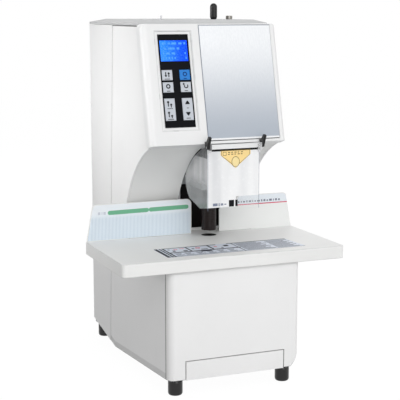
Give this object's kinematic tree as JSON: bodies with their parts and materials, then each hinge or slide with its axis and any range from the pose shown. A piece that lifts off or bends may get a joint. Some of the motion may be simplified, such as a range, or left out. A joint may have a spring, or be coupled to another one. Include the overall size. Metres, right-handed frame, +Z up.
{
  "type": "document riveting machine",
  "caption": "Upright desk machine with a table, fences and a curved throat; a guarded drill and press pierce a paper stack for a tube rivet, worked from a keypad with a display.",
  "frame": {"origin": "on the floor under the middle of the bounding box", "axes": "+X to the machine's right as the user faces it, +Y to the rear, +Z up"},
  "size_m": [0.42, 0.4512, 0.6763],
  "materials": {
    "body_white": "warm white powder coat",
    "liner_grey": "light grey coat",
    "moulding_white": "white moulded plastic, satin",
    "silver_panel": "satin silver",
    "overlay_black": "glossy blue-black film",
    "display_blue": "lit blue display",
    "dark_plastic": "black",
    "board_green": "circuit board",
    "key_grey": "pale grey film key",
    "key_blue": "blue film key",
    "table_white": "off-white coat",
    "pad_black": "black cutting pad",
    "fence_pale": "pale blue-white ribbed face",
    "fence_white": "off-white coat",
    "guard_clear": "clear, slightly milky",
    "label_amber": "amber printed film",
    "bright_steel": "bright machined steel",
    "sleeve_dark": "dark brown-black, ribbed",
    "cast_aluminium": "cast, machined faces",
    "frame_steel": "grey steel",
    "frame_dark": "dark painted steel",
    "brass_parts": "turned brass",
    "motor_dark": "dark motor case",
    "belt_black": "toothed belt",
    "foot_black": "black rubber",
    "unit_case": "plain sheet case"
  },
  "bodies": {
    "base": {"floor_pan": "frame_steel", "rubber_feet": "foot_black", "corner_posts": "frame_steel", "front_cover": "body_white", "side_panel_left": "body_white", "side_panel_right": "body_white", "rear_cover": "body_white", "top_cover": "body_white", "throat_liner": "liner_grey", "head_moulding": "moulding_white", "face_panel": "silver_panel", "keypad_overlay": "overlay_black", "display_window": "display_blue", "display_module": "dark_plastic", "key_board": "board_green", "table_tray": "table_white", "cutting_pad": "pad_black", "fence_left": "fence_pale", "fence_right": "fence_white", "hinge_brackets": "dark_plastic", "hinge_pins": "bright_steel", "press_motor": "motor_dark", "column_frame": "frame_dark", "upper_bracket": "frame_steel", "lower_bracket": "frame_steel", "guide_rods": "bright_steel", "lower_die": "brass_parts", "feed_motor": "motor_dark", "tube_inlet": "bright_steel", "top_peg": "bright_steel", "chip_chute": "frame_steel", "drawer_runners": "frame_steel", "power_unit": "unit_case", "power_socket": "dark_plastic", "power_switch": "dark_plastic", "cover_screws": "bright_steel"},
    "drawer": {"scrap_drawer": "body_white"},
    "guard": {"guard_hood": "guard_clear", "guard_label": "label_amber"},
    "press": {"press_sleeve": "sleeve_dark", "press_arm": "cast_aluminium", "press_rack": "bright_steel"},
    "pinion": {"press_pinion": "brass_parts"},
    "carriage": {"carriage": "cast_aluminium", "feed_nut": "brass_parts", "drill_motor": "motor_dark", "drive_belt": "belt_black"},
    "screw": {"feed_screw": "bright_steel"},
    "spindle": {"drill_spindle": "bright_steel", "drill_bit": "bright_steel"},
    "rotor": {"motor_pulley": "bright_steel"},
    "rocker": {"switch_rocker": "dark_plastic"},
    "clearing": {"clearing_rod": "bright_steel", "clearing_knob": "dark_plastic"},
    "button_up": {"key_up": "key_grey"},
    "button_start": {"key_start": "key_blue"},
    "button_set": {"key_set": "key_grey"},
    "button_return": {"key_return": "key_grey"},
    "button_mode": {"key_mode": "key_grey"},
    "button_adjust": {"key_adjust": "key_grey"}
  },
  "joints": [
    {"name": "drawer_slide", "type": "slide", "parent": "base", "child": "drawer", "axis": [0, -1, 0], "range_m": [0, 0.19]},
    {"name": "guard_hinge", "type": "hinge", "parent": "base", "child": "guard", "pos_m": [0.025, -0.15765, 0.427], "axis": [-1, 0, 0], "range_deg": [0, 80]},
    {"name": "press_slide", "type": "slide", "parent": "base", "child": "press", "axis": [0, 0, 1], "range_m": [-0.0095, 0.05]},
    {"name": "pinion_spin", "type": "hinge", "parent": "base", "child": "pinion", "pos_m": [-0.031, 0.05385, 0.4], "axis": [-1, 0, 0], "range_deg": [-46.36, 239.73]},
    {"name": "carriage_slide", "type": "slide", "parent": "base", "child": "carriage", "axis": [0, 0, 1], "range_m": [-0.019, 0.05]},
    {"name": "feed_screw_spin", "type": "hinge", "parent": "base", "child": "screw", "pos_m": [0.025, 0.03985, 0.5], "axis": [0, 0, 1], "range_deg": [-1712, 4502]},
    {"name": "spindle_spin", "type": "hinge", "parent": "carriage", "child": "spindle", "pos_m": [0.025, -0.03815, 0.45], "axis": [0, 0, 1], "continuous": true},
    {"name": "motor_spin", "type": "hinge", "parent": "carriage", "child": "rotor", "pos_m": [-0.042, -0.03815, 0.5], "axis": [0, 0, 1], "continuous": true},
    {"name": "key_up_press", "type": "slide", "parent": "base", "child": "button_up", "axis": [0, 0.972, -0.2351], "range_m": [0, 0.0005], "stiffness_N_per_m": 1500, "springref_m": -0.0003},
    {"name": "key_start_press", "type": "slide", "parent": "base", "child": "button_start", "axis": [0, 0.972, -0.2351], "range_m": [0, 0.0005], "stiffness_N_per_m": 1500, "springref_m": -0.0003},
    {"name": "key_set_press", "type": "slide", "parent": "base", "child": "button_set", "axis": [0, 0.972, -0.2351], "range_m": [0, 0.0005], "stiffness_N_per_m": 1500, "springref_m": -0.0003},
    {"name": "key_return_press", "type": "slide", "parent": "base", "child": "button_return", "axis": [0, 0.972, -0.2351], "range_m": [0, 0.0005], "stiffness_N_per_m": 1500, "springref_m": -0.0003},
    {"name": "key_mode_press", "type": "slide", "parent": "base", "child": "button_mode", "axis": [0, 0.972, -0.2351], "range_m": [0, 0.0005], "stiffness_N_per_m": 1500, "springref_m": -0.0003},
    {"name": "key_adjust_press", "type": "slide", "parent": "base", "child": "button_adjust", "axis": [0, 0.972, -0.2351], "range_m": [0, 0.0005], "stiffness_N_per_m": 1500, "springref_m": -0.0003},
    {"name": "switch_tilt", "type": "hinge", "parent": "base", "child": "rocker", "pos_m": [-0.032, 0.21875, 0.084], "axis": [1, 0, 0], "range_deg": [-8, 8]},
    {"name": "clearing_rod_lift", "type": "slide", "parent": "base", "child": "clearing", "axis": [0, 0, 1], "range_m": [0, 0.07]}
  ],
  "couplings": [
    {"joint": "pinion_spin", "follows": "press_slide", "rad_per_m": 83.333},
    {"joint": "feed_screw_spin", "follows": "carriage_slide", "rad_per_m": 1570.8},
    {"joint": "motor_spin", "follows": "spindle_spin", "ratio": 1.6667}
  ]
}
